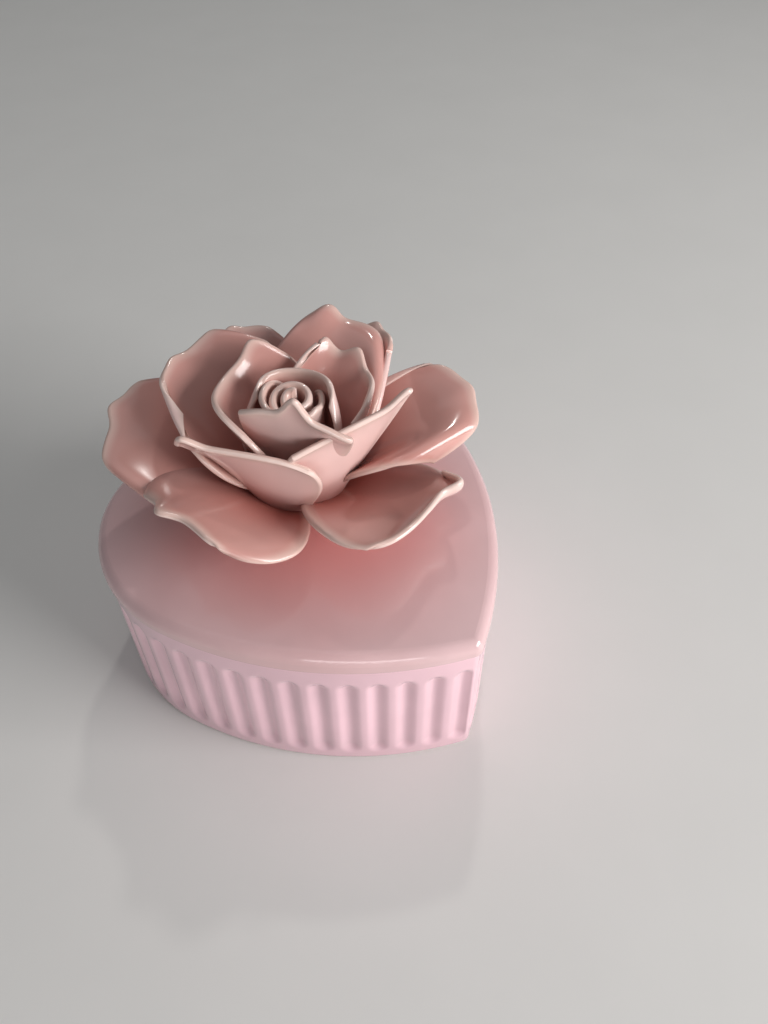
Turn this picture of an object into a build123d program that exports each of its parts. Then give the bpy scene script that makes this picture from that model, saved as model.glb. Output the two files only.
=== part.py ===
from build123d import *
import math
import os

import numpy as np

# Heart-shaped glazed ceramic trinket box with a hand-built rose on its lift-off lid.
# Millimetres, +Z up. The origin is under the middle of the heart, on the surface the box stands on.
# The tip of the heart points along -Y and the notch between its two lobes along +Y.

os.makedirs("parts", exist_ok=True)

# ---- heart outline of the lid: tangent arcs from the tip, round one side, to the notch
HEART_WIDTH = 100.0
TIP_HEADING = 25.5  # degrees from +X in which the side leaves the tip
SIDE_RADIUS = 0.926 * HEART_WIDTH
SIDE_TURN = 46.3  # degrees
SHOULDER_RADIUS = 0.388 * HEART_WIDTH
SHOULDER_TURN = 58.1  # degrees
LOBE_RADIUS = 0.291 * HEART_WIDTH
TIP_ROUND = 3.0
NOTCH_ROUND = 4.0

# ---- base
BOX_HEIGHT = 41.0  # standing surface to the seat of the lid
WALL = 4.0
FLOOR = 4.5
FOOT_WIDTH = 7.0
FOOT_RECESS = 0.8
FOOT_ROUND = 1.0
FLUTES_PER_SIDE = 23
FLUTE_WIDTH = 4.7
FLUTE_DEPTH = 1.0
FLUTE_BOTTOM = 3.5  # above the standing surface
FLUTE_TOP_GAP = 5.5  # plain band between the flutes and the lid

# ---- lid
LID_OVERHANG = 0.7
LID_EDGE = 4.5  # height of the lid's edge half a heart's width from the middle
LID_CROWN = 4.0  # how much higher the middle of the lid is
LID_EDGE_ROUND = 3.0
SEAM_ROUND = 0.8  # edges of the lid and the base where they meet
LID_THICKNESS = 3.5
RIM_DEPTH = 4.0
RIM_WALL = 2.5
RIM_GAP = 0.5

# ---- rose
FLOWER_Y = 9.0
PAD_RADIUS = 9.5
PAD_HEIGHT = 3.5
CORE_RADIUS = 5.0
CORE_HEIGHT = 29.5
PETAL_THICKNESS = 1.5

# Where each petal grows on the pad and how it is bent. Degrees and millimetres:
# az: direction it faces, counter-clockwise from +X; out, up: its root, from the flower's axis and
# above the top of the lid; length, width; lean: angle from upright at the root and towards the rim;
# cup: how far its sides turn inwards at the root and at the rim; roll: outward roll of the rim;
# side: outward curl of the two side edges; drop: how much shorter its sides are, and tip: how much
# longer its point is, as shares of the length; tip_at: the point's place across the petal, -1 to 1;
# tilt: turn about the direction it faces;
# skew, roll_skew: extra lean and roll towards one side; corner: how much of its length the corners
# of the rim are rounded off; slope: how much longer one side is than the middle; flare: the place
# along the petal, 0 to 1, where it is widest.
PETAL_KEYS = ("az", "out", "up", "length", "width", "lean", "cup", "roll", "side", "drop",
              "tip", "tip_at", "tilt", "skew", "roll_skew", "corner", "slope", "flare")
PETALS = {
    "bud_petal_left": (160, 3.4, 3, 28, 30, (6, 9), (100, 90), 0, 0,
        0.10, 0.02, 0, 0, 0, 0, 0.1, 0, 0.62),
    "bud_petal_back": (35, 3.6, 3, 29, 36, (7, 11), (100, 90), 0, 0, 0.10, 0, 0, 0, 0, 0, 0.1, 0, 0.62),
    "bud_petal_front": (282, 3.4, 3, 26, 28, (4, 8), (95, 85), 0, 0,
        0.10, 0.04, 0, 0, 0, 0, 0.1, 0, 0.62),
    "inner_petal_front": (221, 6.2, 1.7, 33, 26, (5, 10), (75, -4), 11, -30,
        0.11, 0.17, 0, -4, 9, 9, 0, 0, 0.9),
    "inner_petal_left": (122, 4, 1.5, 32, 37, (17, 37), (75, 72), 0, 7,
        0.3, 0.12, -0.7, 3, 9, -13, 0, 0, 0.85),
    "inner_petal_right": (8, 4.5, 1.5, 31, 32, (18, 43), (70, 88), 0, -13,
        0.12, 0.12, 0.1, 6, 2, 40, 0.08, 0, 0.8),
    "middle_petal_left": (101, 6, 0.8, 39, 42, (34, 60), (53, 60), 0, 9,
        0.15, 0.03, 0.1, -5, 0, -30, 0.1, 0, 0.62),
    "middle_petal_front": (203, 10.5, 0.6, 28, 29, (10, 20), (45, 5), 8, -6,
        0.08, 0.12, -0.8, 10, -12, 0, 0.03, -0.17, 0.8),
    "middle_petal_right": (260, 8.8, 0.6, 30, 28, (8, 14), (40, 0), 6, 0,
        0.02, 0.12, 0.9, -12, 0, 0, 0, 0.17, 0.9),
    "middle_petal_back": (23, 6, 0.8, 40, 34, (29, 54), (58, 40), 38, 8,
        0.25, 0.06, 0.35, -4, -12, -6, 0.1, 0, 0.62),
    "outer_petal_left": (127, 7, 0.4, 42, 40, (55, 73), (36, 18), 4, 20,
        0.10, 0.05, -0.2, -7, 10, -5, 0.2, 0, 0.62),
    "outer_petal_front": (180, 6, 0.4, 34, 43, (56, 61), (40, -18), 0, 28,
        0.02, 0.1, -0.1, 0, -6, -22, 0.15, 0, 0.62),
    "outer_petal_right_front": (276, 5.5, 0.4, 35, 37, (58, 86), (36, 5), -85, 5,
        0.12, 0.14, 0.75, -12, -4, -50, 0.05, 0, 0.7),
    "outer_petal_right": (330, 6.5, 0.4, 42, 32, (52, 70), (60, 23), 14, 3,
        0.22, 0.03, 0, -12, -25, -6, 0.2, 0, 0.62),
    "outer_petal_back_right": (14, 6, 0.4, 39.5, 30, (45, 56), (40, 55), 10, -4,
        0.2, 0.05, 0, -4, 3, 3, 0.2, 0, 0.62),
    "outer_petal_back_left": (76, 6, 0.4, 39, 33, (45, 56), (40, 40), 11, 5,
        0.2, 0.04, 0, 0, 0, 0, 0.2, 0, 0.62),
}

DOME_RADIUS = ((HEART_WIDTH / 2) ** 2 + LID_CROWN**2) / (2 * LID_CROWN)
DOME_CENTRE_Z = BOX_HEIGHT + LID_EDGE + LID_CROWN - DOME_RADIUS
LID_TOP = BOX_HEIGHT + LID_EDGE + LID_CROWN
WALL_IN = LID_OVERHANG + WALL
RIM_OUT = WALL_IN + RIM_GAP
RIM_IN = RIM_OUT + RIM_WALL
FLUTE_RADIUS = ((FLUTE_WIDTH / 2) ** 2 + FLUTE_DEPTH**2) / (2 * FLUTE_DEPTH)


def heart_arcs():
    """The three arcs of the heart's right half, from a tip at (0, 0) to the notch."""
    heading = Vector(1, 0).rotate(Axis.Z, TIP_HEADING)
    side = JernArc((0, 0), heading, SIDE_RADIUS, SIDE_TURN, mode=Mode.PRIVATE)
    shoulder = JernArc(side @ 1, side % 1, SHOULDER_RADIUS, SHOULDER_TURN, mode=Mode.PRIVATE)
    turned = TIP_HEADING + SIDE_TURN + SHOULDER_TURN
    centre_x = (shoulder @ 1).X - LOBE_RADIUS * math.sin(math.radians(turned))
    lobe_turn = 180.0 + math.degrees(math.asin(centre_x / LOBE_RADIUS)) - turned
    lobe = JernArc(shoulder @ 1, shoulder % 1, LOBE_RADIUS, lobe_turn, mode=Mode.PRIVATE)
    return [side.edge(), shoulder.edge(), lobe.edge()]


ARCS = heart_arcs()
ARC_BOX = Wire(ARCS).bounding_box()
TIP_CUT = TIP_ROUND * (1 / math.cos(math.radians(TIP_HEADING)) - 1)  # what the rounding takes off
MIDDLE_Y = ARC_BOX.center().Y + TIP_CUT / 2
HALF_OUTLINE = Wire([arc.moved(Location((0, -MIDDLE_Y))) for arc in ARCS])


def heart(inward=0.0):
    """Adds the heart outline, brought in by a distance, to the sketch that is being built."""
    with BuildSketch(mode=Mode.PRIVATE) as outline:
        with BuildLine():
            add(HALF_OUTLINE)
            mirror(about=Plane.YZ)
        make_face()
        corners = outline.vertices().filter_by(lambda v: abs(v.X) < 0.01).sort_by(Axis.Y)
        fillet(corners[0], TIP_ROUND)
        fillet(corners[-1], NOTCH_ROUND)
        if inward:
            offset(amount=-inward, kind=Kind.INTERSECTION)
    return add(outline.sketch)


def flute_points():
    """Axes of the flutes' round cutters, evenly spaced from the tip on both sides of the heart."""
    points = []
    for index in range(FLUTES_PER_SIDE):
        share = (index + 0.5) / (FLUTES_PER_SIDE + 0.5)
        tangent = HALF_OUTLINE % share
        outward = Vector(tangent.Y, -tangent.X)
        axis = HALF_OUTLINE @ share + outward * (FLUTE_RADIUS - FLUTE_DEPTH - LID_OVERHANG)
        points += [(axis.X, axis.Y), (-axis.X, axis.Y)]
    return points


# ---- base: a slip-cast cup with a flat foot ring and round-ended flutes
with BuildPart() as flute_cutter:
    with BuildSketch(Plane.XZ):
        with BuildLine():
            low = FLUTE_BOTTOM + FLUTE_RADIUS
            high = BOX_HEIGHT - FLUTE_TOP_GAP - FLUTE_RADIUS
            Line((0, low - FLUTE_RADIUS), (0, high + FLUTE_RADIUS))
            RadiusArc((0, high + FLUTE_RADIUS), (FLUTE_RADIUS, high), FLUTE_RADIUS)
            Line((FLUTE_RADIUS, high), (FLUTE_RADIUS, low))
            RadiusArc((FLUTE_RADIUS, low), (0, low - FLUTE_RADIUS), FLUTE_RADIUS)
        make_face()
    revolve(axis=Axis.Z)

with BuildPart() as box_base:
    with BuildSketch(Plane.XY):
        heart(LID_OVERHANG)
    extrude(amount=BOX_HEIGHT)
    fillet(box_base.faces().sort_by(Axis.Z)[0].edges(), FOOT_ROUND)
    fillet(box_base.faces().sort_by(Axis.Z)[-1].edges(), SEAM_ROUND)
    with BuildSketch(Plane.XY.offset(FLOOR)):
        heart(WALL_IN)
    extrude(amount=BOX_HEIGHT - FLOOR, mode=Mode.SUBTRACT)
    with BuildSketch(Plane.XY):
        heart(LID_OVERHANG + FOOT_WIDTH)
    extrude(amount=FOOT_RECESS, mode=Mode.SUBTRACT)
    with Locations(*flute_points()):
        add(flute_cutter.part, mode=Mode.SUBTRACT)
box_base.part.label = "box_base"
export_step(box_base.part, "parts/box_base.step")

# ---- lid: a hollow crowned plate with a rim that drops inside the wall of the base
with BuildPart() as lid_hollow:
    with BuildSketch(Plane.XY.offset(BOX_HEIGHT - RIM_DEPTH)):
        heart(RIM_IN)
    extrude(amount=RIM_DEPTH + LID_EDGE + LID_CROWN)
    with Locations((0, 0, DOME_CENTRE_Z)):
        Sphere(DOME_RADIUS - LID_THICKNESS, mode=Mode.INTERSECT)

with BuildPart() as lid:
    with BuildSketch(Plane.XY.offset(BOX_HEIGHT)):
        heart()
    extrude(amount=LID_EDGE + LID_CROWN)
    with Locations((0, 0, DOME_CENTRE_Z)):
        Sphere(DOME_RADIUS, mode=Mode.INTERSECT)
    crown = lid.faces().filter_by(GeomType.SPHERE)
    fillet(crown.edges(), min(LID_EDGE_ROUND, 0.7 * LID_EDGE))
    fillet(lid.faces().sort_by(Axis.Z)[0].edges(), SEAM_ROUND)
    with BuildSketch(Plane.XY.offset(BOX_HEIGHT)):
        heart(RIM_OUT)
    extrude(amount=-RIM_DEPTH)
    add(lid_hollow.part, mode=Mode.SUBTRACT)
lid.part.label = "lid"
export_step(lid.part, "parts/lid.step")

# ---- rose: a clay pad luted to the crown of the lid, a rolled core, and thin hand-formed petals
with BuildPart() as flower_pad:
    with BuildSketch(Plane.XY.offset(LID_TOP - LID_EDGE)):
        with Locations((0, FLOWER_Y)):
            Circle(PAD_RADIUS)
    extrude(amount=LID_EDGE + PAD_HEIGHT)
    fillet(flower_pad.faces().sort_by(Axis.Z)[-1].edges(), PAD_HEIGHT / 2)
    with Locations((0, 0, DOME_CENTRE_Z)):
        Sphere(DOME_RADIUS, mode=Mode.SUBTRACT)
flower_pad.part.label = "flower_pad"
export_step(flower_pad.part, "parts/flower_pad.step")

with BuildPart() as bud_core:
    with BuildSketch(Plane.XZ.offset(-FLOWER_Y)):
        with BuildLine():
            foot_z = LID_TOP + PAD_HEIGHT
            top_z = LID_TOP + CORE_HEIGHT
            Polyline((0, top_z), (0, foot_z), (CORE_RADIUS, foot_z))
            Spline((CORE_RADIUS, foot_z), (CORE_RADIUS * 1.1, (foot_z + top_z) / 2),
                   (CORE_RADIUS * 0.75, top_z - 1.5), (0, top_z), tangents=((0.2, 1), (-1, 0.2)))
        make_face()
    revolve(axis=Axis((0, FLOWER_Y, 0), (0, 0, 1)))
bud_core.part.label = "bud_core"
export_step(bud_core.part, "parts/bud_core.step")


def petal_points(name, rows=9, columns=11):
    """Points of a petal's middle surface, row by row from its root to its rim."""
    petal = dict(zip(PETAL_KEYS, PETALS[name]))
    across = np.linspace(-1, 1, columns)[None, :]
    along = np.linspace(0, 1, rows)[:, None]
    point = np.exp(-(((across - petal["tip_at"]) / 0.2) ** 2))
    rounded = petal["corner"] * np.clip((abs(across) - 0.6) / 0.4, 0, 1) ** 2.5
    share = 1 + petal["slope"] * across - petal["drop"] * abs(across) ** 3 - rounded
    length = petal["length"] * (share + petal["tip"] * point)
    lean = petal["lean"][0] + (np.diff(petal["lean"]) + petal["skew"] * across) * along**1.2
    rim = np.clip((along - 0.72) / 0.28, 0, 1) ** 2
    lean = np.radians(lean + (petal["roll"] + petal["roll_skew"] * across) * rim)
    out = running_sum(np.sin(lean), 1 / (rows - 1), axis=0) * length
    up = running_sum(np.cos(lean), 1 / (rows - 1), axis=0) * length
    flare = petal["flare"]
    swell = 0.34 + 0.66 * np.sin(math.pi / 2 * np.clip(along / flare, 0, 1))
    beyond = np.clip((along - flare) / 0.38, 0, 1) ** 2.2
    half = petal["width"] / 2 * swell * (1 - 0.28 * beyond)
    edge = np.sign(across) * np.clip((abs(across) - 0.6) / 0.4, 0, 1) ** 2
    turn = (petal["cup"][0] + np.diff(petal["cup"]) * along) * across - petal["side"] * edge
    turn = np.radians(turn)
    sideways = running_sum(np.cos(turn), 2 / (columns - 1), axis=1)
    inwards = running_sum(np.sin(turn), 2 / (columns - 1), axis=1)
    middle = columns // 2
    sideways = (sideways - sideways[:, middle:middle + 1]) * half
    inwards = (inwards - inwards[:, middle:middle + 1]) * half
    out = out - np.cos(lean) * inwards
    up = up + np.sin(lean) * inwards
    tilt = math.radians(petal["tilt"])
    sideways, up = (sideways * math.cos(tilt) - up * math.sin(tilt),
                    sideways * math.sin(tilt) + up * math.cos(tilt))
    out = out + petal["out"]
    facing = math.radians(petal["az"])
    x = out * math.cos(facing) - sideways * math.sin(facing)
    y = FLOWER_Y + out * math.sin(facing) + sideways * math.cos(facing)
    return np.stack((x, y, LID_TOP + petal["up"] + up), axis=-1)


def running_sum(values, step, axis):
    """Integral of evenly spaced values from the first one on, by the trapezium rule."""
    before = np.delete(values, -1, axis)
    after = np.delete(values, 0, axis)
    total = np.cumsum((before + after) / 2 * step, axis)
    return np.insert(total, 0, 0, axis)


def petal_sheet(points):
    """One smooth face through a grid of points."""
    grid = [[Vector(*point) for point in row] for row in points]
    return Face.make_surface_from_array_of_points(grid, tol=0.2, smoothing=(1, 1, 1), max_deg=6)


def petal_solid(name):
    """A petal of even thickness: an inner and an outer sheet, joined all round by ruled sides."""
    middle = petal_points(name)
    normal = np.cross(np.gradient(middle, axis=0), np.gradient(middle, axis=1))
    normal *= PETAL_THICKNESS / 2 / np.linalg.norm(normal, axis=-1, keepdims=True)
    sheets = [petal_sheet(middle + normal), petal_sheet(middle - normal)]
    pairs = zip(sheets[0].edges(), sheets[1].edges())
    sides = [Face.make_surface_from_curves(one, other) for one, other in pairs]
    return Solid(Shell(sheets + sides))


for petal_name in PETALS:
    with BuildPart() as petal_part:
        add(petal_solid(petal_name))
    petal_part.part.label = petal_name
    export_step(petal_part.part, f"parts/{petal_name}.step")
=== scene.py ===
"""Heart-shaped glazed ceramic trinket box with a hand-built rose on its lift-off lid.

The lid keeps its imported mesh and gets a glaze. The base, the pad, the bud and the petals are new
surfaces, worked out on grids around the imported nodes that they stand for.
"""

import math

import bpy
import numpy as np
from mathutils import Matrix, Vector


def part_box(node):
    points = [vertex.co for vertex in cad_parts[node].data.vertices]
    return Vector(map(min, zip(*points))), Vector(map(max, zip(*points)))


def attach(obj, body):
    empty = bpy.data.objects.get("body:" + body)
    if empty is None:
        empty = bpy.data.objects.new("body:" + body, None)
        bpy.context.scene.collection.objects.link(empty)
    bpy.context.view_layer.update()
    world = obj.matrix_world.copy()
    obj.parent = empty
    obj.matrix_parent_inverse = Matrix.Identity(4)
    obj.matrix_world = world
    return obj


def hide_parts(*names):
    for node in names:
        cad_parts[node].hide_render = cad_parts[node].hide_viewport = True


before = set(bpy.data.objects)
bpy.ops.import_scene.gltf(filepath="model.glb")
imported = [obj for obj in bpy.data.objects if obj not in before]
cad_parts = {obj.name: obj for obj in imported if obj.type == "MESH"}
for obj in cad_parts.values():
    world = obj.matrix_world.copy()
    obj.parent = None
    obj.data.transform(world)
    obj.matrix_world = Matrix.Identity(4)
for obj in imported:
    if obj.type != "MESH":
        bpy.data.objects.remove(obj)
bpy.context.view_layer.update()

bl_info = {
    "name": "Heart trinket box",
    "version": (1, 0, 0),
    "blender": (4, 5, 0),
    "location": "View3D > Sidebar > Heart box",
    "description": "Glazes a heart-shaped ceramic box and builds the rose on its lid",
    "category": "Add Mesh",
}

MM = 0.001
LID_LOW, LID_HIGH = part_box("lid")
BASE_LOW, BASE_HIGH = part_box("box_base")
PAD_LOW, PAD_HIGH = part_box("flower_pad")
CORE_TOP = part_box("bud_core")[1][2]
FLOWER_X = (PAD_LOW[0] + PAD_HIGH[0]) / 2
FLOWER_Y = (PAD_LOW[1] + PAD_HIGH[1]) / 2
LID_TOP = LID_HIGH[2]

# Outline of the lid: tangent arcs from the tip round one side to the notch, in degrees and millimetres.
LOBE_REACH = 1.00086  # the widest part of the arcs, as a share of the width that sets their radii
HEART_WIDTH = (LID_HIGH[0] - LID_LOW[0]) / MM / LOBE_REACH
TIP_HEADING = 25.5
ARC_RADII = (0.926 * HEART_WIDTH, 0.388 * HEART_WIDTH, 0.291 * HEART_WIDTH)
ARC_TURNS = (46.3, 58.1)
TIP_ROUND = 3.0
NOTCH_ROUND = 4.0
OUTLINE_STEPS = 6001

# Section of the base, in millimetres.
OVERHANG = 0.7  # of the lid over the base
WALL = 4.0
FLOOR = 4.5
FOOT_WIDTH = 7.0
FOOT_RECESS = 0.8
FOOT_ROUND = 1.0
FOOT_BREAK = 0.15  # softened inner edge of the foot
SEAM_ROUND = 0.8
LIP_ROUND = 0.4  # inner edge of the rim
COVE = 1.5  # round where the wall meets the floor
FLUTES_PER_SIDE = 23
FLUTE_WIDTH = 4.7
FLUTE_BOTTOM = 3.5
FLUTE_TOP_GAP = 5.5

# Stage, in metres and degrees; the lens in millimetres.
FLOOR_REACH = 1.2
BOX_MIDDLE = (0.0, 0.0, 0.05)
EYE = (-0.0871, -0.1117, 0.2053)
EYE_TURNS = (41.889, 0.345, -43.915)
LENS = 30.27

# How each petal grows and bends, in degrees and millimetres:
# az: direction it faces, counter-clockwise from +X; out, up: its root, from the flower's axis and
# above the top of the lid; length, width; lean: angle from upright at the root and towards the rim;
# cup: how far its sides turn inwards at the root and at the rim; roll: outward roll of the rim;
# side: outward curl of the two side edges; drop: how much shorter its sides are, and tip: how much
# longer its point is, as shares of the length; tip_at: the point's place across the petal, -1 to 1;
# tilt: turn about the direction it faces; skew, roll_skew: extra lean and roll towards one side;
# corner: how much of its length the corners of the rim are rounded off; slope: how much longer one
# side is than the middle; flare: the place along the petal, 0 to 1, where it is widest.
PETAL_KEYS = ("az", "out", "up", "length", "width", "lean", "cup", "roll", "side", "drop",
              "tip", "tip_at", "tilt", "skew", "roll_skew", "corner", "slope", "flare")
BUD_PETALS = {
    "bud_petal_left": (160, 3.4, 3, 28, 30, (6, 9), (100, 90), 0, 0,
        0.10, 0.02, 0, 0, 0, 0, 0.1, 0, 0.62),
    "bud_petal_back": (35, 3.6, 3, 29, 36, (7, 11), (100, 90), 0, 0, 0.10, 0, 0, 0, 0, 0, 0.1, 0, 0.62),
    "bud_petal_front": (282, 3.4, 3, 26, 28, (4, 8), (95, 85), 0, 0,
        0.10, 0.04, 0, 0, 0, 0, 0.1, 0, 0.62),
}
INNER_PETALS = {
    "inner_petal_front": (221, 6.2, 1.7, 33, 26, (5, 10), (75, -4), 11, -30,
        0.11, 0.17, 0, -4, 9, 9, 0, 0, 0.9),
    "inner_petal_left": (122, 4, 1.5, 32, 37, (17, 37), (75, 72), 0, 7,
        0.3, 0.12, -0.7, 3, 9, -13, 0, 0, 0.85),
    "inner_petal_right": (8, 4.5, 1.5, 31, 32, (18, 43), (70, 88), 0, -13,
        0.12, 0.12, 0.1, 6, 2, 40, 0.08, 0, 0.8),
}
MIDDLE_PETALS = {
    "middle_petal_left": (101, 6, 0.8, 39, 42, (34, 60), (53, 60), 0, 9,
        0.15, 0.03, 0.1, -5, 0, -30, 0.1, 0, 0.62),
    "middle_petal_front": (203, 10.5, 0.6, 28, 29, (10, 20), (45, 5), 8, -6,
        0.08, 0.12, -0.8, 10, -12, 0, 0.03, -0.17, 0.8),
    "middle_petal_right": (260, 8.8, 0.6, 30, 28, (8, 14), (40, 0), 6, 0,
        0.02, 0.12, 0.9, -12, 0, 0, 0, 0.17, 0.9),
    "middle_petal_back": (23, 6, 0.8, 40, 34, (29, 54), (58, 40), 38, 8,
        0.25, 0.06, 0.35, -4, -12, -6, 0.1, 0, 0.62),
}
OUTER_PETALS = {
    "outer_petal_left": (127, 7, 0.4, 42, 40, (55, 73), (36, 18), 4, 20,
        0.10, 0.05, -0.2, -7, 10, -5, 0.2, 0, 0.62),
    "outer_petal_front": (180, 6, 0.4, 34, 43, (56, 61), (40, -18), 0, 28,
        0.02, 0.1, -0.1, 0, -6, -22, 0.15, 0, 0.62),
    "outer_petal_right_front": (276, 5.5, 0.4, 35, 37, (58, 86), (36, 5), -85, 5,
        0.12, 0.14, 0.75, -12, -4, -50, 0.05, 0, 0.7),
    "outer_petal_right": (330, 6.5, 0.4, 42, 32, (52, 70), (60, 23), 14, 3,
        0.22, 0.03, 0, -12, -25, -6, 0.2, 0, 0.62),
    "outer_petal_back_right": (14, 6, 0.4, 39.5, 30, (45, 56), (40, 55), 10, -4,
        0.2, 0.05, 0, -4, 3, 3, 0.2, 0, 0.62),
    "outer_petal_back_left": (76, 6, 0.4, 39, 33, (45, 56), (40, 40), 11, 5,
        0.2, 0.04, 0, 0, 0, 0, 0.2, 0, 0.62),
}


class HeartBoxGlazes(bpy.types.PropertyGroup):
    """Colours and gloss of the glazes."""

    base_colour: bpy.props.FloatVectorProperty(
        name="Base", description="Glaze of the fluted base", subtype="COLOR", size=3,
        default=(0.80, 0.53, 0.59), min=0, max=1)
    lid_colour: bpy.props.FloatVectorProperty(
        name="Lid", description="Glaze of the lid near its edge", subtype="COLOR", size=3,
        default=(0.74, 0.51, 0.52), min=0, max=1)
    blush_colour: bpy.props.FloatVectorProperty(
        name="Blush", description="Airbrushed colour of the lid around the rose", subtype="COLOR",
        size=3, default=(0.66, 0.28, 0.27), min=0, max=1)
    petal_colour: bpy.props.FloatVectorProperty(
        name="Petal", description="Glaze of the open part of a petal", subtype="COLOR", size=3,
        default=(0.82, 0.58, 0.545), min=0, max=1)
    # Painted shade: this darker colour of a petal's inner face stands in for the shade that falls on it.
    inside_shade_colour: bpy.props.FloatVectorProperty(
        name="Inside", description="Glaze of the inside of a petal, where it pools", subtype="COLOR",
        size=3, default=(0.58, 0.30, 0.265), min=0, max=1)
    # The throat colour is partly the deeper pink at a petal's root and partly painted shade in the crease
    # between petals.
    throat_and_shade_colour: bpy.props.FloatVectorProperty(
        name="Throat", description="Deeper glaze at the root of a petal", subtype="COLOR", size=3,
        default=(0.40, 0.10, 0.075), min=0, max=1)
    rim_colour: bpy.props.FloatVectorProperty(
        name="Rim", description="Pale edge where the glaze runs thin", subtype="COLOR", size=3,
        default=(0.84, 0.68, 0.60), min=0, max=1)
    gloss: bpy.props.FloatProperty(
        name="Roughness", description="Roughness of the fired glaze", default=0.16, min=0, max=1)


class HeartBoxFlutes(bpy.types.PropertyGroup):
    """Shape of the soft flutes in the base."""

    depth: bpy.props.FloatProperty(
        name="Depth", description="Depth of a flute", unit="LENGTH", default=1.15 * MM, min=0)
    reach: bpy.props.FloatProperty(
        name="Reach", description="Distance from a flute's middle to its soft edge",
        unit="LENGTH", default=2.9 * MM, min=0.2 * MM)


class HeartBoxRose(bpy.types.PropertyGroup):
    """Sizes of the rose."""

    thickness: bpy.props.FloatProperty(
        name="Petal thickness", description="Thickness of a petal away from its rim",
        unit="LENGTH", default=1.5 * MM, min=0.2 * MM)
    lip: bpy.props.FloatProperty(
        name="Rim curl", description="How far the last of the rim curls outwards, in degrees",
        default=9.0, min=0, max=120)


def running_sum(values, places, axis):
    """Integral of values over their places from the first one on, by the trapezium rule."""
    steps = np.diff(places, axis=axis)
    before = np.delete(values, -1, axis)
    after = np.delete(values, 0, axis)
    total = np.cumsum((before + after) / 2 * steps, axis)
    return np.insert(total, 0, 0, axis)


def crowded(count, sharpness):
    """Places from -1 to 1 that crowd towards both ends."""
    return np.tanh(sharpness * np.linspace(-1, 1, count)) / math.tanh(sharpness)


def walk_arcs(last_turn):
    """Places, headings in radians and points along the tangent arcs, the last of which turns by so
    many degrees: the heading grows evenly along each arc, and x and y are the integrals of its
    cosine and sine.
    """
    turns = (*ARC_TURNS, last_turn)
    lengths = [radius * math.radians(turn) for radius, turn in zip(ARC_RADII, turns)]
    place = np.linspace(0, sum(lengths), OUTLINE_STEPS)
    heading = np.interp(place, np.cumsum([0, *lengths]), np.cumsum([TIP_HEADING, *turns]))
    heading = np.radians(heading)
    return place, heading, running_sum(np.cos(heading), place, 0), running_sum(np.sin(heading), place, 0)


def half_outline():
    """Places, headings and points along the right half of the heart, whose last arc stops where it
    meets the middle plane.
    """
    place, heading, x, y = walk_arcs(1.0)
    centre = x[-1] - ARC_RADII[2] * math.sin(heading[-1])
    stop = 180 + math.degrees(math.asin(centre / ARC_RADII[2]))
    place, heading, x, y = walk_arcs(stop - TIP_HEADING - sum(ARC_TURNS))
    cut = TIP_ROUND * (1 / math.cos(math.radians(TIP_HEADING)) - 1)
    return place, heading, x, y - (y.max() + cut) / 2


def heart_ring(inward, tip=20, side=322, notch=14):
    """Closed ring round the heart, a distance inside the lid's outline, counter-clockwise from the tip.

    The sides are the outline less its normal times the distance. A circle rounds the tip, and
    another the notch; both stand where the sides' parallels meet the middle plane.
    Returns points, outward normals and places along the outline.
    """
    place, heading, x, y = half_outline()
    radius = max(TIP_ROUND - inward, 0.4)
    near = slice(0, OUTLINE_STEPS // 4)
    parallel = x[near] - (inward + radius) * np.sin(heading[near])
    start = float(np.interp(0, parallel, place[near]))
    far = slice(-(OUTLINE_STEPS * 3 // 20), None)
    parallel = x[far] + NOTCH_ROUND * np.sin(heading[far])
    stop = float(np.interp(0, parallel[::-1], place[far][::-1]))
    first, last = np.interp([start, stop], place, heading)
    tip_y = np.interp(start, place, y) + (inward + radius) * math.cos(first)
    notch_y = np.interp(stop, place, y) - NOTCH_ROUND * math.cos(last)
    along = np.linspace(start, stop, side)
    turn = np.interp(along, place, heading)
    normal = np.stack([np.sin(turn), -np.cos(turn)], -1)
    sides = np.stack([np.interp(along, place, x), np.interp(along, place, y)], -1) - inward * normal
    angle = np.linspace(-math.pi / 2, first - math.pi / 2, tip)[:-1]
    tip_normal = np.stack([np.cos(angle), np.sin(angle)], -1)
    tip_arc = (0, tip_y) + radius * tip_normal
    angle = np.linspace(last + math.pi / 2, 1.5 * math.pi, notch)[1:]
    notch_normal = -np.stack([np.cos(angle), np.sin(angle)], -1)
    notch_arc = (0, notch_y) - (NOTCH_ROUND + inward) * notch_normal
    points = np.concatenate([tip_arc, sides, notch_arc])
    normals = np.concatenate([tip_normal, normal, notch_normal])
    before = np.linspace(0, start, tip)[:-1]
    after = np.linspace(stop, place[-1], notch)[1:]
    places = np.concatenate([before, along, after])
    points[[0, -1], 0] = 0
    flip = np.array([-1, 1])
    return (np.concatenate([points, points[-2:0:-1] * flip]),
            np.concatenate([normals, normals[-2:0:-1] * flip]),
            np.concatenate([places, places[-2:0:-1]]))


def flute_share(places, height):
    """How deep the flutes are, 0 to 1: half a cosine wave over the distance from the nearest flute's
    middle line, which has round ends.
    """
    reach = bpy.context.scene.heart_box_flutes.reach / MM
    end = half_outline()[0][-1]
    middles = (np.arange(FLUTES_PER_SIDE) + 0.5) / (FLUTES_PER_SIDE + 0.5) * end
    beside = abs(places[:, None] - middles[None, :]).min(axis=1)
    low = FLUTE_BOTTOM + FLUTE_WIDTH / 2
    high = BASE_HIGH[2] / MM - FLUTE_TOP_GAP - FLUTE_WIDTH / 2
    beyond = max(low - height, height - high, 0)
    away = np.clip(np.hypot(beside, beyond) / reach, 0, 1)
    return 0.5 + 0.5 * np.cos(math.pi * away)


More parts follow.
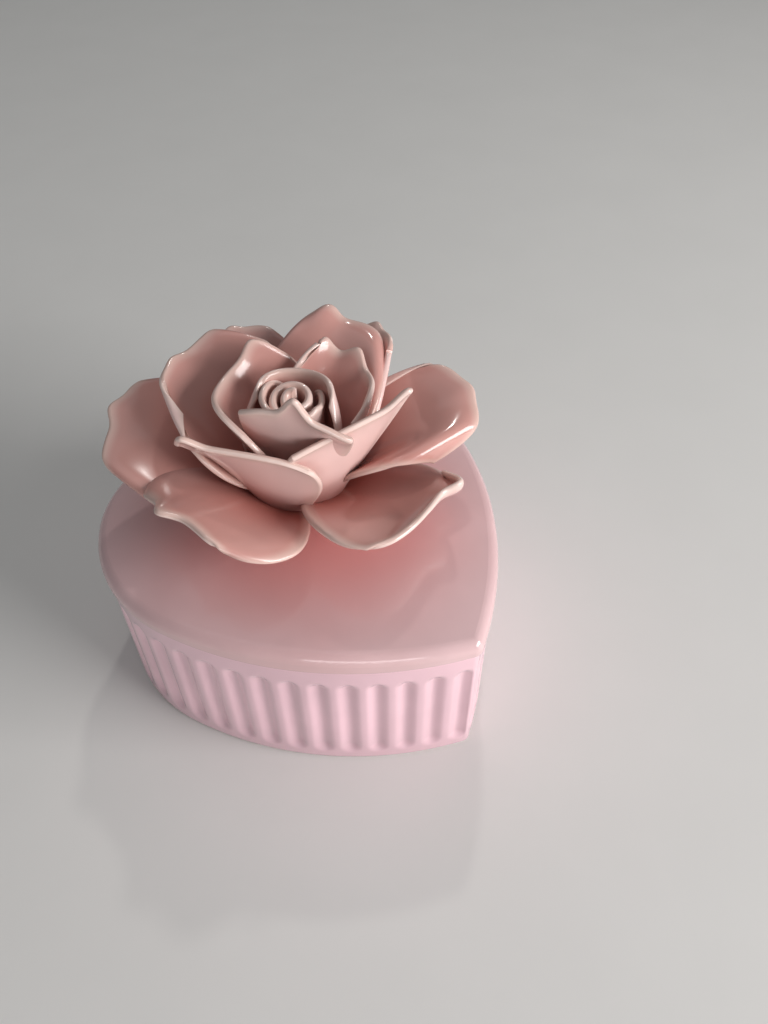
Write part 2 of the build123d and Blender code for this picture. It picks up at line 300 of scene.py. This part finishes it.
def quarter(inward, height, radius, start, steps=5):
    """Rounded edge of the section: points on a quarter circle from an angle in degrees."""
    angles = np.radians(start) + np.linspace(0, math.pi / 2, steps)
    return [(inward - radius * math.cos(a), height + radius * math.sin(a)) for a in angles]


def base_section():
    """Distances inside the outline and heights, from under the foot over the rim to the floor."""
    top = BASE_HIGH[2] / MM
    inner = OVERHANG + WALL
    foot = OVERHANG + FOOT_WIDTH
    section = [(foot + 0.3, FOOT_RECESS), (foot, FOOT_RECESS)]
    section += [(foot, FOOT_BREAK), (foot - FOOT_BREAK, 0), (OVERHANG + 2.5, 0)]
    section += quarter(OVERHANG + FOOT_ROUND, FOOT_ROUND, FOOT_ROUND, -90)
    section += [(OVERHANG, height) for height in np.linspace(1.5, top - 1.2, 78)]
    section += quarter(OVERHANG + SEAM_ROUND, top - SEAM_ROUND, SEAM_ROUND, 0)
    section += [(inner - 0.6, top)] + quarter(inner - LIP_ROUND, top - LIP_ROUND, LIP_ROUND, 90)
    section += [(inner, height) for height in (top - 3, 28, 20, 12, FLOOR + 3)]
    cove = [(inner + COVE - COVE * math.cos(a), FLOOR + COVE - COVE * math.sin(a))
            for a in np.linspace(0, math.pi / 2, 6)]
    return section + cove + [(inner + 2.5, FLOOR)]


def closed_surface(rings, poles):
    """Vertices and faces of rings stacked from one pole to the other, and a fan at each pole."""
    count = len(rings[0])
    index = np.arange(len(rings) * count).reshape(-1, count)
    beside = np.roll(index, -1, axis=1)
    quads = np.stack([index[:-1], beside[:-1], beside[1:], index[1:]], -1).reshape(-1, 4)
    low, high = index.size, index.size + 1
    caps = [(low, b, a) for a, b in zip(index[0], beside[0])]
    caps += [(a, b, high) for a, b in zip(index[-1], beside[-1])]
    faces = [tuple(int(i) for i in face) for face in [*quads, *caps]]
    return np.vstack([*rings, poles]), faces


def base_surface():
    """Closed surface of the base: the section carried round the heart, less the flutes."""
    depth = bpy.context.scene.heart_box_flutes.depth / MM
    rings = []
    for inward, height in base_section():
        points, normals, places = heart_ring(inward)
        if inward == OVERHANG:
            points = points - normals * (depth * flute_share(places, height))[:, None]
        rings.append(np.column_stack([points, np.full(len(points), height)]))
    under = [rings[0] * (share, share, 1) for share in (0.2, 0.5, 0.8)]
    inside = [rings[-1] * (share, share, 1) for share in (0.8, 0.5, 0.2)]
    rings = [*under, *rings, *inside]
    poles = [(0, 0, rings[0][0, 2]), (0, 0, rings[-1][0, 2])]
    vertices, faces = closed_surface(rings, poles)
    return vertices * MM, faces


def petal_surface(values, lip, rows=70, columns=91):
    """Middle surface of a petal, rows from root to rim, columns from side to side, in metres.

    A line leaves the root and leans outwards along its length (lean, then roll and lip at the rim);
    its out and up are the integrals of the sine and cosine of that lean. Across it, the section
    turns inwards by the cup, and its sideways and inward runs are integrals in the same way.
    """
    petal = dict(zip(PETAL_KEYS, values))
    across = crowded(columns, 1.9)[None, :]
    along = np.sin(math.pi / 2 * np.linspace(0, 1, rows))[:, None]
    point = np.exp(-(((across - petal["tip_at"]) / 0.2) ** 2))
    rounded = petal["corner"] * np.clip((abs(across) - 0.6) / 0.4, 0, 1) ** 2.5
    share = 1 + petal["slope"] * across - petal["drop"] * abs(across) ** 3 - rounded
    length = petal["length"] * (share + petal["tip"] * point)
    lean = petal["lean"][0] + (petal["lean"][1] - petal["lean"][0] + petal["skew"] * across) * along**1.2
    rim = np.clip((along - 0.72) / 0.28, 0, 1) ** 2
    curl = np.clip((along - 0.88) / 0.12, 0, 1) ** 1.5
    lean = np.radians(lean + (petal["roll"] + petal["roll_skew"] * across) * rim + lip * curl)
    out = running_sum(np.sin(lean), along, axis=0) * length
    up = running_sum(np.cos(lean), along, axis=0) * length
    flare = petal["flare"]
    swell = 0.34 + 0.66 * np.sin(math.pi / 2 * np.clip(along / flare, 0, 1))
    beyond = np.clip((along - flare) / 0.38, 0, 1) ** 2.2
    half = petal["width"] / 2 * swell * (1 - 0.28 * beyond)
    edge = np.sign(across) * np.clip((abs(across) - 0.6) / 0.4, 0, 1) ** 2
    turn = (petal["cup"][0] + (petal["cup"][1] - petal["cup"][0]) * along) * across - petal["side"] * edge
    turn = np.radians(turn)
    sideways = running_sum(np.cos(turn), across, axis=1)
    inwards = running_sum(np.sin(turn), across, axis=1)
    middle = columns // 2
    sideways = (sideways - sideways[:, middle:middle + 1]) * half
    inwards = (inwards - inwards[:, middle:middle + 1]) * half
    out = out - np.cos(lean) * inwards
    up = up + np.sin(lean) * inwards
    tilt = math.radians(petal["tilt"])
    sideways, up = (sideways * math.cos(tilt) - up * math.sin(tilt),
                    sideways * math.sin(tilt) + up * math.cos(tilt))
    out = out + petal["out"]
    facing = math.radians(petal["az"])
    x = out * math.cos(facing) - sideways * math.sin(facing)
    y = out * math.sin(facing) + sideways * math.cos(facing)
    z = petal["up"] + up
    return np.stack([FLOWER_X + x * MM, FLOWER_Y + y * MM, LID_TOP + z * MM], axis=-1)


def grid_normals(points):
    """Unit normals of a grid surface from its row and column differences."""
    normal = np.cross(np.gradient(points, axis=1), np.gradient(points, axis=0))
    return normal / np.maximum(np.linalg.norm(normal, axis=-1, keepdims=True), 1e-12)


def shell(points, thickness):
    """Two sheets either side of a grid surface, joined along all four edges by a round rim.

    The gap between the sheets is the thickness times the height of a half ellipse near an edge: the
    square root of 1 - (1 - d/e)^2, where d is the distance to the edge and e the rim's reach.
    Returns vertices, quads, and each vertex's distance from the root (0 to 1) and from the rim, and
    whether it is on the inside of the petal.
    """
    rows, columns = points.shape[:2]
    steps = np.linalg.norm(np.diff(points, axis=0), axis=-1)
    from_root = np.concatenate([np.zeros((1, columns)), np.cumsum(steps, axis=0)])
    to_rim = from_root[-1] - from_root
    widths = np.linalg.norm(np.diff(points, axis=1), axis=-1)
    from_left = np.concatenate([np.zeros((rows, 1)), np.cumsum(widths, axis=1)], axis=1)
    to_side = np.minimum(from_left, from_left[:, -1:] - from_left)
    to_edge = np.minimum(np.minimum(to_rim, to_side), from_root)
    reach = 0.62 * thickness
    gap = thickness / 2 * np.sqrt(np.clip(1 - (1 - np.clip(to_edge / reach, 0, 1)) ** 2, 0, 1))
    normal = grid_normals(points)
    front = points + normal * gap[..., None]
    back = points - normal * gap[..., None]
    index = np.arange(rows * columns).reshape(rows, columns)
    under = index + rows * columns
    border = np.zeros((rows, columns), bool)
    border[[0, -1], :] = True
    border[:, [0, -1]] = True
    under[border] = index[border]
    quads = [np.stack([g[:-1, :-1], g[:-1, 1:], g[1:, 1:], g[1:, :-1]], -1).reshape(-1, 4)
             for g in (index, under)]
    faces = np.concatenate([quads[0][:, ::-1], quads[1]])
    vertices = np.concatenate([front.reshape(-1, 3), back.reshape(-1, 3)])
    rooted = np.tile((from_root / from_root[-1].max()).ravel(), 2)
    edge = np.tile(np.minimum(to_rim, to_side).ravel(), 2)
    inside = np.repeat([0.0, 1.0], rows * columns)
    used = np.unique(faces)
    renumber = np.full(len(vertices), -1)
    renumber[used] = np.arange(len(used))
    marks = {"from_root": rooted[used], "to_rim": edge[used], "inside": inside[used]}
    return vertices[used], renumber[faces], marks


def make_mesh(name, vertices, faces, attributes):
    """Object at the origin with smooth faces and one value per vertex for each attribute."""
    mesh = bpy.data.meshes.new(name)
    mesh.from_pydata(np.asarray(vertices).tolist(), [], [tuple(face) for face in faces])
    mesh.polygons.foreach_set("use_smooth", np.ones(len(mesh.polygons), bool))
    for key, values in attributes.items():
        layer = mesh.attributes.new(key, "FLOAT", "POINT")
        layer.data.foreach_set("value", np.asarray(values, np.float32))
    mesh.validate()
    mesh.update()
    piece = bpy.data.objects.new(name, mesh)
    bpy.context.scene.collection.objects.link(piece)
    return piece


def rolled_core(turns=1.7, rows=50, columns=260):
    """Middle surface of a strip of clay rolled into a spiral, rows upwards, columns round it.

    The radius grows evenly with the angle, and swells a little with the height.
    """
    share = crowded(columns, 1.2)[None, :] / 2 + 0.5
    high = np.sin(math.pi / 2 * np.linspace(0, 1, rows))[:, None]
    angle = np.radians(20) + 2 * math.pi * turns * share
    foot = PAD_HIGH[2] - 0.5 * MM
    top = CORE_TOP + (1.2 - 0.8 * share + 0.9 * np.sin(angle + 0.6)) * MM
    radius = (1.1 + 4.5 * share) * MM * (0.66 + 0.42 * high - 0.07 * high**6)
    x = FLOWER_X + radius * np.cos(angle)
    y = FLOWER_Y + radius * np.sin(angle)
    z = foot + (top - foot) * high + 0 * share
    return np.stack([x, y, z], axis=-1)


def pad_dome(rings=40, sectors=96):
    """Closed low dome under the petals: radius by the cosine, height by the sine of a quarter turn."""
    rise = np.linspace(0, math.pi / 2, rings)[:-1, None]
    turn = np.linspace(0, 2 * math.pi, sectors, endpoint=False)[None, :]
    radius = (PAD_HIGH[0] - PAD_LOW[0]) / 2 * np.cos(rise) ** 0.5
    high = PAD_LOW[2] + (PAD_HIGH[2] - PAD_LOW[2]) * np.sin(rise) ** 1.5
    x = FLOWER_X + radius * np.cos(turn)
    y = FLOWER_Y + radius * np.sin(turn)
    wall = np.stack([x, y, high + 0 * turn], axis=-1)
    poles = [(FLOWER_X, FLOWER_Y, PAD_LOW[2]), (FLOWER_X, FLOWER_Y, PAD_HIGH[2])]
    return closed_surface(wall, poles)


def add_to_lid(piece, node):
    """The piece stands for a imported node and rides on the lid."""
    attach(piece, "lid")
    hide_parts(node)


class Nodes:
    """Short calls for building a node tree."""

    def __init__(self, name):
        self.material = bpy.data.materials.new(name)
        self.material.use_nodes = True
        self.tree = self.material.node_tree
        self.shader = self.tree.nodes["Principled BSDF"]

    def add(self, kind, **settings):
        node = self.tree.nodes.new(kind)
        for key, value in settings.items():
            setattr(node, key, value)
        return node

    def link(self, source, target):
        self.tree.links.new(source, target)

    def attribute(self, name):
        return self.add("ShaderNodeAttribute", attribute_name=name).outputs["Fac"]

    def place(self):
        return self.add("ShaderNodeTexCoord").outputs["Object"]

    def noise(self, scale, detail=2.0, roughness=0.5):
        node = self.add("ShaderNodeTexNoise")
        node.inputs["Scale"].default_value = scale
        node.inputs["Detail"].default_value = detail
        node.inputs["Roughness"].default_value = roughness
        self.link(self.place(), node.inputs["Vector"])
        return node.outputs["Fac"]

    def ramp(self, value, low, high, to_low=0.0, to_high=1.0):
        """Smooth step between two values, which runs downwards where low is over high."""
        node = self.add("ShaderNodeMapRange", interpolation_type="SMOOTHSTEP")
        node.inputs["From Min"].default_value = low
        node.inputs["From Max"].default_value = high
        node.inputs["To Min"].default_value = to_low
        node.inputs["To Max"].default_value = to_high
        self.link(value, node.inputs["Value"])
        return node.outputs["Result"]

    def math(self, operation, first, second=None):
        node = self.add("ShaderNodeMath", operation=operation)
        for socket, value in zip(node.inputs, (first, second)):
            if isinstance(value, (int, float)):
                socket.default_value = value
            elif value is not None:
                self.link(value, socket)
        return node.outputs["Value"]

    def mix(self, share, first, second):
        node = self.add("ShaderNodeMix", data_type="RGBA")
        self.link(share, node.inputs["Factor"])
        for socket, value in ((node.inputs[6], first), (node.inputs[7], second)):
            if hasattr(value, "links"):
                self.link(value, socket)
            else:
                socket.default_value = (*value, 1.0)
        return node.outputs[2]

    def distance(self, centre):
        """Distance of the surface from a point, in metres."""
        node = self.add("ShaderNodeVectorMath", operation="DISTANCE")
        self.link(self.place(), node.inputs[0])
        node.inputs[1].default_value = centre
        return node.outputs["Value"]

    def glaze(self, colour, glazes):
        """Fired glaze: colour, gloss that varies a little, and slow ripples in the surface."""
        self.link(colour, self.shader.inputs["Base Color"])
        rough = self.ramp(self.noise(60.0), 0.3, 0.7, glazes.gloss * 0.8, glazes.gloss * 1.35)
        self.link(rough, self.shader.inputs["Roughness"])
        self.shader.inputs["IOR"].default_value = 1.5
        self.shader.inputs["Coat Weight"].default_value = 0.35
        self.shader.inputs["Coat Roughness"].default_value = 0.06
        bump = self.add("ShaderNodeBump")
        bump.inputs["Strength"].default_value = 0.25
        bump.inputs["Distance"].default_value = 0.04 * MM
        self.link(self.noise(90.0, 3.0, 0.45), bump.inputs["Height"])
        self.link(bump.outputs["Normal"], self.shader.inputs["Normal"])
        return self.material


def lid_glaze(glazes):
    """Pale pink with a warm blush sprayed round the foot of the rose."""
    nodes = Nodes("fired_lid_glaze")
    centre = (FLOWER_X - 0.004, FLOWER_Y - 0.006, LID_TOP)
    away = nodes.distance(centre)
    uneven = nodes.math("MULTIPLY", nodes.noise(22.0, 3.0), 0.012)
    away = nodes.math("ADD", away, uneven)
    blush = nodes.ramp(away, 0.058, 0.014)
    pale = nodes.mix(nodes.ramp(nodes.noise(45.0, 4.0), 0.35, 0.65), glazes.lid_colour,
                     [c * 1.06 for c in glazes.lid_colour])
    colour = nodes.mix(blush, pale, glazes.blush_colour)
    return nodes.glaze(colour, glazes)


def base_glaze(glazes):
    """Pale pink, a little deeper low down, and bare clay under the foot."""
    nodes = Nodes("fired_base_glaze")
    split = nodes.add("ShaderNodeSeparateXYZ")
    nodes.link(nodes.place(), split.inputs[0])
    # Darker towards the bottom of the base.
    darker_low = nodes.ramp(split.outputs["Z"], 0.012, 0.0)
    deep = [c * 0.9 for c in glazes.base_colour]
    cloud = nodes.ramp(nodes.noise(40.0, 4.0), 0.35, 0.65)
    pale = nodes.mix(cloud, glazes.base_colour, [min(1.0, c * 1.08) for c in glazes.base_colour])
    colour = nodes.mix(darker_low, pale, deep)
    foot = nodes.ramp(split.outputs["Z"], 0.0005, 0.0001)
    colour = nodes.mix(foot, colour, (0.70, 0.64, 0.58))
    return nodes.glaze(colour, glazes)


def petal_glaze(glazes):
    """Nude pink with a pale line along the rim; the darker inside is painted shade, and the deeper throat
    at the root is partly deeper pink and partly painted shade.
    """
    nodes = Nodes("fired_petal_glaze")
    root = nodes.math("ADD", nodes.attribute("from_root"),
                      nodes.math("MULTIPLY", nodes.noise(55.0, 3.0), 0.16))
    uneven = nodes.ramp(nodes.noise(35.0, 3.0), 0.35, 0.65)
    outside = nodes.mix(uneven, glazes.petal_colour, [c * 1.07 for c in glazes.petal_colour])
    # Towards the root both faces turn to the throat colour, partly painted shade in the crease.
    outside = nodes.mix(nodes.ramp(root, 0.50, 0.05), outside, glazes.throat_and_shade_colour)
    # Painted shade: the inside sheet takes the darker inside colour.
    inside = nodes.mix(uneven, glazes.inside_shade_colour, [c * 1.10 for c in glazes.inside_shade_colour])
    inside = nodes.mix(nodes.ramp(root, 0.85, 0.10), inside, glazes.throat_and_shade_colour)
    colour = nodes.mix(nodes.attribute("inside"), outside, inside)
    rim = nodes.ramp(nodes.attribute("to_rim"), 0.0034, 0.0002)
    colour = nodes.mix(nodes.math("MULTIPLY", rim, 0.55), colour, glazes.rim_colour)
    return nodes.glaze(colour, glazes)


def glazed(key, build):
    """The named material, made once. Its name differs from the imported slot's own plain material."""
    found = bpy.data.materials.get("fired_" + key)
    return found or build(bpy.context.scene.heart_box_glazes)


def finish_node(node, material):
    """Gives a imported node's own mesh a material in its slots."""
    piece = bpy.data.objects[node]
    piece.data.materials.clear()
    piece.data.materials.append(material)


def build_petals(petals):
    """Makes each petal of a ring and glazes it."""
    rose = bpy.context.scene.heart_box_rose
    for name, values in petals.items():
        surface = petal_surface(values, rose.lip)
        vertices, faces, marks = shell(surface, rose.thickness)
        piece = make_mesh(name + "_form", vertices, faces, marks)
        piece.data.materials.append(glazed("petal_glaze", petal_glaze))
        add_to_lid(piece, name)


class HEARTBOX_OT_base(bpy.types.Operator):
    """Build the base with its soft flutes, and glaze it"""

    bl_idname = "heartbox.base"
    bl_label = "Base"

    def execute(self, context):
        vertices, faces = base_surface()
        piece = make_mesh("box_base_form", vertices, faces, {})
        piece.data.materials.append(glazed("base_glaze", base_glaze))
        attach(piece, "box")
        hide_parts("box_base")
        return {"FINISHED"}


class HEARTBOX_OT_lid(bpy.types.Operator):
    """Glaze the lid with its sprayed blush"""

    bl_idname = "heartbox.lid"
    bl_label = "Lid"

    def execute(self, context):
        finish_node("lid", glazed("lid_glaze", lid_glaze))
        return {"FINISHED"}


class HEARTBOX_OT_bud(bpy.types.Operator):
    """Build the pad, the rolled core and the petals wrapped round it"""

    bl_idname = "heartbox.bud"
    bl_label = "Bud"

    def execute(self, context):
        rose = context.scene.heart_box_rose
        vertices, faces = pad_dome()
        ones = np.ones(len(vertices))
        # The pad takes the throat colour all over, the deeper pink that is partly painted shade.
        marks = {"from_root": 0 * ones, "to_rim": ones, "inside": ones}
        pad = make_mesh("flower_pad_form", vertices, faces, marks)
        vertices, faces, marks = shell(rolled_core(), 1.25 * rose.thickness)
        core = make_mesh("bud_core_form", vertices, faces, marks)
        for piece, node in ((pad, "flower_pad"), (core, "bud_core")):
            piece.data.materials.append(glazed("petal_glaze", petal_glaze))
            add_to_lid(piece, node)
        build_petals(BUD_PETALS)
        return {"FINISHED"}


class HEARTBOX_OT_petals(bpy.types.Operator):
    """Build the three open rings of petals"""

    bl_idname = "heartbox.petals"
    bl_label = "Open petals"

    def execute(self, context):
        for ring in (INNER_PETALS, MIDDLE_PETALS, OUTER_PETALS):
            build_petals(ring)
        return {"FINISHED"}


def area_light(name, place, size, power, colour):
    """Soft rectangular light that looks at the middle of the box."""
    light = bpy.data.lights.new(name, "AREA")
    light.shape = "RECTANGLE"
    light.size, light.size_y = size
    light.energy = power
    light.color = colour
    lamp = bpy.data.objects.new(name, light)
    bpy.context.scene.collection.objects.link(lamp)
    lamp.location = place
    aim = np.subtract(BOX_MIDDLE, place)
    across = math.hypot(aim[0], aim[1])
    lamp.rotation_euler = (math.atan2(across, -aim[2]), 0, math.atan2(-aim[0], aim[1]))


class HEARTBOX_OT_stage(bpy.types.Operator):
    """Add the floor, the studio light and the camera"""

    bl_idname = "heartbox.stage"
    bl_label = "Stage"

    def execute(self, context):
        scene = context.scene
        signs = ((-1, -1), (1, -1), (1, 1), (-1, 1))
        mesh = bpy.data.meshes.new("floor")
        mesh.from_pydata([(FLOOR_REACH * x, FLOOR_REACH * y, BASE_LOW[2]) for x, y in signs],
                         [], [(0, 1, 2, 3)])
        floor = bpy.data.objects.new("floor", mesh)
        scene.collection.objects.link(floor)
        nodes = Nodes("floor_paint")
        tone = nodes.mix(nodes.noise(30.0, 4.0), (0.76, 0.75, 0.73), (0.80, 0.79, 0.77))
        nodes.link(tone, nodes.shader.inputs["Base Color"])
        nodes.shader.inputs["Roughness"].default_value = 0.5
        mesh.materials.append(nodes.material)

        area_light("window", (0.34, -0.80, 0.36), (0.6, 0.4), 8.8, (1.0, 0.98, 0.97))
        area_light("bounce", (-0.50, -0.58, 0.14), (0.5, 0.2), 1.2, (1.0, 0.98, 0.98))
        area_light("ceiling", (-0.1, 0.2, 1.0), (0.8, 0.8), 0.8, (0.97, 0.98, 1.0))
        area_light("lamp", (0.60, 0.47, 0.98), (0.06, 0.06), 1.2, (1.0, 0.97, 0.93))
        world = bpy.data.worlds.new("room")
        world.use_nodes = True
        world.node_tree.nodes["Background"].inputs["Color"].default_value = (0.86, 0.90, 0.92, 1)
        world.node_tree.nodes["Background"].inputs["Strength"].default_value = 0.17
        scene.world = world
        scene.view_settings.view_transform = "Standard"

        camera = bpy.data.cameras.new("camera")
        camera.sensor_width = 36.0
        camera.lens = LENS
        camera.clip_start = 0.01
        eye = bpy.data.objects.new("camera", camera)
        scene.collection.objects.link(eye)
        eye.location = EYE
        eye.rotation_mode = "XYZ"
        eye.rotation_euler = [math.radians(turn) for turn in EYE_TURNS]
        scene.camera = eye
        return {"FINISHED"}


class HEARTBOX_PT_panel(bpy.types.Panel):
    """Steps that build the box, in order"""

    bl_label = "Heart box"
    bl_space_type = "VIEW_3D"
    bl_region_type = "UI"
    bl_category = "Heart box"

    def draw(self, context):
        layout = self.layout
        for operator in OPERATORS:
            layout.operator(operator.bl_idname)
        scene = context.scene
        for group in (scene.heart_box_glazes, scene.heart_box_flutes, scene.heart_box_rose):
            for key in group.__annotations__:
                layout.prop(group, key)


OPERATORS = (HEARTBOX_OT_base, HEARTBOX_OT_lid, HEARTBOX_OT_bud, HEARTBOX_OT_petals, HEARTBOX_OT_stage)
CLASSES = (HeartBoxGlazes, HeartBoxFlutes, HeartBoxRose, *OPERATORS, HEARTBOX_PT_panel)


def register():
    for cls in CLASSES:
        bpy.utils.register_class(cls)
    bpy.types.Scene.heart_box_glazes = bpy.props.PointerProperty(type=HeartBoxGlazes)
    bpy.types.Scene.heart_box_flutes = bpy.props.PointerProperty(type=HeartBoxFlutes)
    bpy.types.Scene.heart_box_rose = bpy.props.PointerProperty(type=HeartBoxRose)


def unregister():
    del bpy.types.Scene.heart_box_rose
    del bpy.types.Scene.heart_box_flutes
    del bpy.types.Scene.heart_box_glazes
    for cls in reversed(CLASSES):
        bpy.utils.unregister_class(cls)


def main():
    register()
    bpy.ops.heartbox.base()
    bpy.ops.heartbox.lid()
    bpy.ops.heartbox.bud()
    bpy.ops.heartbox.petals()
    bpy.ops.heartbox.stage()


if __name__ == "__main__":
    main()
